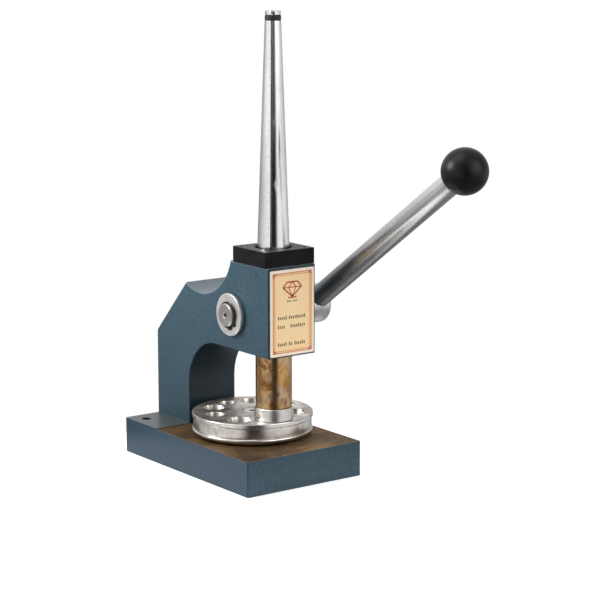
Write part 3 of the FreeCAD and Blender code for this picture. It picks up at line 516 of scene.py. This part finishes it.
dress(casting_paint(), "frame_casting")
dress(black_steel(), "mandrel_plate")
dress(mandrel_chrome(), *[f"mandrel_segment_{k}" for k in range(1, 5)])
dress(lever_chrome(), "lever_rod")
dress(tarnished_ram(), "rack_ram")
dress(turned_metal("foot_steel", (0.66, 0.64, 0.62), (0.54, 0.51, 0.48), "Z", ram_centre,
                   rough=(0.25, 0.33), wear=0.15, fine=0.6), "press_foot")
dress(die_steel(), "die_plate")
dress(turned_metal("pivot_steel", (0.60, 0.58, 0.55), (0.40, 0.37, 0.33), "Z",
                   centre_of("die_plate")), "die_pivot_bolt")
dress(turned_metal("shaft_steel", (0.57, 0.56, 0.55), (0.38, 0.36, 0.34), "X", shaft_centre,
                   rough=(0.30, 0.42)), "pinion_shaft")
dress(turned_metal("flange_steel", (0.80, 0.79, 0.77), (0.64, 0.62, 0.59), "X", shaft_centre,
                   rough=(0.34, 0.46)), "left_bush")
dress(turned_metal("bar_steel", (0.56, 0.55, 0.54), (0.40, 0.39, 0.38), "Z", ram_centre),
      "draw_bar")
dress(turned_metal("zinc_steel", (0.56, 0.56, 0.55), (0.42, 0.41, 0.38), "Z", ram_centre),
      "draw_bar_nut", "die_spacer", "mandrel_base_spring")
dress(dark_metal("blackened_steel", (0.016, 0.015, 0.014), (0.34, 0.5)),
      "plate_screws", "lever_set_screw", "foot_screw")
dress(dark_metal("spring_black", (0.012, 0.011, 0.010), (0.30, 0.45), 0.4), "retaining_ring")
dress(ball_black(), "ball_knob")
dress(turned_metal("insert_brass", (0.78, 0.58, 0.28), (0.52, 0.36, 0.15), "X", shaft_centre),
      "ball_insert")
dress(rubber_black(), "mandrel_band")
dress(label_paper(), "name_plate")


# ------------------------------------------------------------------ print on the name plate, in mm
plate_low, plate_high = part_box("name_plate")
PLATE_MIDDLE = centre_of("name_plate")
INK_THICKNESS = 0.00002           # of one layer, in metres
SIDE_INSET = 2.2                  # from the plate's edges to the border
END_INSET = 2.05
LINE_GAP = 1.4                    # between the border's two lines
BORDER_X = (plate_high.x - plate_low.x) / 2 / MM - SIDE_INSET
BORDER_Z = (plate_high.z - plate_low.z) / 2 / MM - END_INSET
CORNER_OVERLAP = 0.1              # of the corner pieces past the border
CORNER_INSETS = [(0.0, 0.0), (3.0, 0.0), (3.0, 1.2), (1.9, 1.9), (1.2, 3.0), (0.0, 3.0)]


def printed(name, shade, loops, layers=2):
    """A thin print on the plate's face. Each loop is a closed polygon of (x, z) in mm from the
    plate's middle."""
    mesh = bpy.data.meshes.new(name)
    work = bmesh.new()
    face_y = plate_low.y
    top_y = face_y - layers * INK_THICKNESS
    for loop in loops:
        places = [(PLATE_MIDDLE.x + x * MM, top_y, PLATE_MIDDLE.z + z * MM) for x, z in loop]
        front = [work.verts.new(place) for place in places]
        back = [work.verts.new((v.co.x, face_y, v.co.z)) for v in front]
        work.faces.new(front)
        work.faces.new(back[::-1])
        for k in range(len(front)):
            following = (k + 1) % len(front)
            work.faces.new((front[k], back[k], back[following], front[following]))
    bmesh.ops.recalc_face_normals(work, faces=work.faces)
    work.to_mesh(mesh)
    work.free()
    piece = bpy.data.objects.new(name, mesh)
    bpy.context.scene.collection.objects.link(piece)
    mesh.materials.append(shade.material)
    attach(piece, "frame")


def block(left, low, right, high):
    """The corners of an upright rectangle."""
    return [(left, low), (right, low), (right, high), (left, high)]


def border(inset, width):
    """Four strips of that width, that far inside the border's outer edge."""
    w, h = BORDER_X - inset, BORDER_Z - inset
    top = block(-w, h - width, w, h)
    bottom = block(-w, -h, w, -h + width)
    left = block(-w, -h + width, -w + width, h - width)
    right = block(w - width, -h + width, w, h - width)
    return [top, bottom, left, right]


def corner_pieces():
    """A notched piece over each corner of the border."""
    loops = []
    for side_x in (-1, 1):
        for side_z in (-1, 1):
            loops.append([(side_x * (BORDER_X + CORNER_OVERLAP - inset_x),
                           side_z * (BORDER_Z + CORNER_OVERLAP - inset_z))
                          for inset_x, inset_z in CORNER_INSETS])
    return loops


def stroke(points, width):
    """Thin blocks along a line of points."""
    loops = []
    for (ax, az), (bx, bz) in zip(points, points[1:]):
        length = math.hypot(bx - ax, bz - az)
        nx = -(bz - az) / length * width / 2
        nz = (bx - ax) / length * width / 2
        loops.append([(ax + nx, az + nz), (ax - nx, az - nz),
                      (bx - nx, bz - nz), (bx + nx, bz + nz)])
    return loops


def cut_gem():
    """A cut gem seen from the side, over a solid bar."""
    left, right, bottom = (-8.0, 18.0), (8.0, 18.0), (0.0, 11.4)
    outline = [left, (-4.6, 21.8), (4.6, 21.8), right, bottom, left]
    facets = [(-3.2, 18.0), (0.0, 21.8), (3.2, 18.0), bottom, (-3.2, 18.0)]
    bar = block(-3.6, 10.2, 3.6, 11.3)
    return stroke(outline, 1.2) + stroke([left, right], 0.8) + stroke(facets, 0.8) + [bar]


def rows_of_marks(rows):
    """Lines of small plain blocks, in groups, that spell nothing. A row is its height on the
    plate, the blocks' height and pitch, and the (left end, count) of each group."""
    loops = []
    for low, height, pitch, groups in rows:
        for start, count in groups:
            for k in range(count):
                left = start + k * pitch
                tall = height * (1.3 if k % 4 == 0 else 1.0)
                loops.append(block(left, low, left + pitch * 0.6, low + tall))
    return loops


frame_ink = ink("frame_ink", (0.50, 0.16, 0.07), (0.70, 0.34, 0.17))
wash_ink = ink("wash_ink", (0.93, 0.55, 0.30), (0.95, 0.62, 0.37))
corner_ink = ink("corner_ink", (0.50, 0.15, 0.06), (0.66, 0.28, 0.13))
emblem_ink = ink("emblem_ink", (0.50, 0.09, 0.05), (0.66, 0.22, 0.13))
text_ink = ink("text_ink", (0.14, 0.10, 0.05), (0.32, 0.23, 0.12))

printed("label_wash", wash_ink, border(0.0, 2.0), layers=1)
printed("label_border", frame_ink, border(0.0, 0.6) + border(LINE_GAP, 0.35))
printed("label_corners", corner_ink, corner_pieces(), layers=3)
printed("label_emblem", emblem_ink, cut_gem())
printed("label_rows", text_ink, rows_of_marks([
    (7.6, 1.1, 1.3, [(-4.4, 3), (0.9, 3)]),
    (-4.6, 2.0, 1.65, [(-12.6, 5), (-3.0, 9)]),
    (-10.9, 2.0, 1.65, [(-12.6, 4), (-1.6, 8)]),
    (-23.6, 2.0, 1.65, [(-12.6, 5), (-3.0, 2), (1.8, 6)])]))


# ------------------------------------------------------------------ floor
FLOOR_RADIUS = 0.13
FLOOR_DROP = 0.0002               # keeps the floor clear of the base's underside
FLOOR_SIDES = 96
FLOOR_GLOW = 0.45
WHITE = (1.0, 1.0, 1.0, 1)


def pale_floor():
    """A pale round floor that glows a little, so that its rim melts into the white room."""
    mesh = bpy.data.meshes.new("floor")
    work = bmesh.new()
    bmesh.ops.create_circle(work, cap_ends=True, segments=FLOOR_SIDES, radius=FLOOR_RADIUS)
    work.to_mesh(mesh)
    work.free()
    floor = bpy.data.objects.new("floor", mesh)
    floor.location.z = -FLOOR_DROP
    bpy.context.scene.collection.objects.link(floor)
    s = Shade("floor_white", Roughness=0.9, Specular_IOR_Level=0.0, Emission_Color=WHITE,
              Emission_Strength=FLOOR_GLOW)
    shades = (0.3, (0.92, 0.92, 0.92)), (0.7, (0.94, 0.94, 0.94))
    s.set("Base Color", s.ramp(s.noise(3, 2), *shades))
    mesh.materials.append(s.material)
    return floor


pale_floor()


# ------------------------------------------------------------------ room
CAMERA_PLACE = Vector((-0.8281, -1.1858, 0.3948))
CAMERA_TARGET = Vector((0.05483, 0.0, 0.11649))
GROUND_LEVEL = 0.38
CEILING_LEVEL = 0.75
GROUND_ENDS = (-0.45, -0.24)      # heights of a direction where the ground turns into walls
LIGHTS_START = (-0.02, 0.08)      # and the walls into lights
CEILING_STARTS = (0.55, 0.85)     # and the lights into the ceiling

# grey levels round the room, by degrees from the camera's side
WALLS = [
    (-180, 0.30), (-140, 0.38), (-106, 0.55), (-70, 0.92), (-36, 1.12), (-20, 0.80), (-9, 0.0),
    (18, 0.0), (30, 0.75), (42, 0.95), (100, 0.85), (150, 0.42), (180, 0.30)]
LIGHTS = [
    (-180, 1.0), (-140, 0.8), (-105, 1.0), (-45, 1.0), (-22, 0.4), (0, 0.12), (20, 0.5),
    (36, 2.2), (72, 2.8), (90, 0.4), (140, 0.5), (180, 1.0)]

world = bpy.data.worlds.new("studio")
bpy.context.scene.world = world
world.use_nodes = True
tree = world.node_tree
tree.nodes.clear()


def world_node(kind, **settings):
    node = tree.nodes.new(kind)
    for name, value in settings.items():
        setattr(node, name, value)
    return node


def world_math(operation, first, second):
    node = world_node("ShaderNodeMath", operation=operation)
    for socket, value in zip(node.inputs, (first, second)):
        if isinstance(value, bpy.types.NodeSocket):
            tree.links.new(value, socket)
        else:
            socket.default_value = value
    return node.outputs[0]


def world_ramp(value, stops):
    """A grey ramp through (degrees from the camera's side, level) stops."""
    node = world_node("ShaderNodeValToRGB")
    elements = node.color_ramp.elements
    while len(elements) < len(stops):
        elements.new(1.0)
    for element, (degrees, level) in zip(elements, stops):
        element.position = 0.5 + degrees / 360
        element.color = (level, level, level, 1)
    tree.links.new(value, node.inputs[0])
    return node.outputs[0]


def world_blend(height, ends, below, above):
    """below where the height is under both ends, above where it is over them, mixed between."""
    step = world_node("ShaderNodeMapRange", interpolation_type="SMOOTHSTEP")
    tree.links.new(height, step.inputs[0])
    step.inputs[1].default_value, step.inputs[2].default_value = ends
    node = world_node("ShaderNodeMix", data_type="RGBA")
    tree.links.new(step.outputs[0], node.inputs[0])
    for socket, value in ((node.inputs[6], below), (node.inputs[7], above)):
        if isinstance(value, float):
            socket.default_value = (value, value, value, 1)
        else:
            tree.links.new(value, socket)
    return node.outputs[2]


def turn_from_camera(x, y):
    """The azimuth of a direction as a share of a full turn, with the camera's side at 0.5. The
    extra turn keeps the remainder above zero."""
    azimuth = world_math("ARCTAN2", y, x)
    turned = world_math("SUBTRACT", azimuth, math.atan2(CAMERA_PLACE.y, CAMERA_PLACE.x))
    turned = world_math("ADD", turned, 3 * math.pi)
    turned = world_math("MODULO", turned, 2 * math.pi)
    return world_math("DIVIDE", turned, 2 * math.pi)


def light_room():
    """What the metals reflect: a dark strip behind the camera between two soft walls, and above
    the horizon lights that are brightest on the right. The camera itself sees plain white."""
    sky = world_node("ShaderNodeTexCoord").outputs["Generated"]
    parts = world_node("ShaderNodeSeparateXYZ")
    tree.links.new(sky, parts.inputs[0])
    around = turn_from_camera(parts.outputs[0], parts.outputs[1])
    height = parts.outputs[2]
    room = world_blend(height, GROUND_ENDS, GROUND_LEVEL, world_ramp(around, WALLS))
    room = world_blend(height, LIGHTS_START, room, world_ramp(around, LIGHTS))
    room = world_blend(height, CEILING_STARTS, room, CEILING_LEVEL)
    rays = world_node("ShaderNodeLightPath")
    seen = world_node("ShaderNodeMix", data_type="RGBA")
    tree.links.new(rays.outputs["Is Camera Ray"], seen.inputs[0])
    tree.links.new(room, seen.inputs[6])
    seen.inputs[7].default_value = WHITE
    background = world_node("ShaderNodeBackground")
    tree.links.new(seen.outputs[2], background.inputs["Color"])
    background.inputs["Strength"].default_value = 1.0
    tree.links.new(background.outputs[0], world_node("ShaderNodeOutputWorld").inputs[0])


light_room()


# ------------------------------------------------------------------ lamps and camera
LENS = 120.89                     # focal length in mm
SENSOR_WIDTH = 36.0               # in mm
CLIP_START = 0.05
CLIP_END = 20.0


def aimed(place, target):
    """The rotation that looks from the place to the target."""
    return (target - place).to_track_quat("-Z", "Y").to_euler()


def soft_box(name, place, target, size, power):
    light = bpy.data.lights.new(name, "AREA")
    light.shape = "RECTANGLE"
    light.size, light.size_y = size
    light.energy = power
    lamp = bpy.data.objects.new(name, light)
    lamp.location = place
    lamp.rotation_euler = aimed(Vector(place), Vector(target))
    bpy.context.scene.collection.objects.link(lamp)


def add_camera():
    data = bpy.data.cameras.new("camera")
    data.lens = LENS
    data.sensor_width = SENSOR_WIDTH
    data.clip_start = CLIP_START
    data.clip_end = CLIP_END
    camera = bpy.data.objects.new("camera", data)
    camera.location = CAMERA_PLACE
    camera.rotation_euler = aimed(CAMERA_PLACE, CAMERA_TARGET)
    bpy.context.scene.collection.objects.link(camera)
    bpy.context.scene.camera = camera


soft_box("overhead", (-0.5, 0.1, 1.5), (0.0, 0.0, 0.1), (1.0, 1.0), 6)
soft_box("left_key", (-0.87, 0.42, 0.69), (0.0, -0.1, 0.2), (0.44, 0.50), 10.0)
add_camera()
bpy.context.scene.view_settings.view_transform = "Standard"
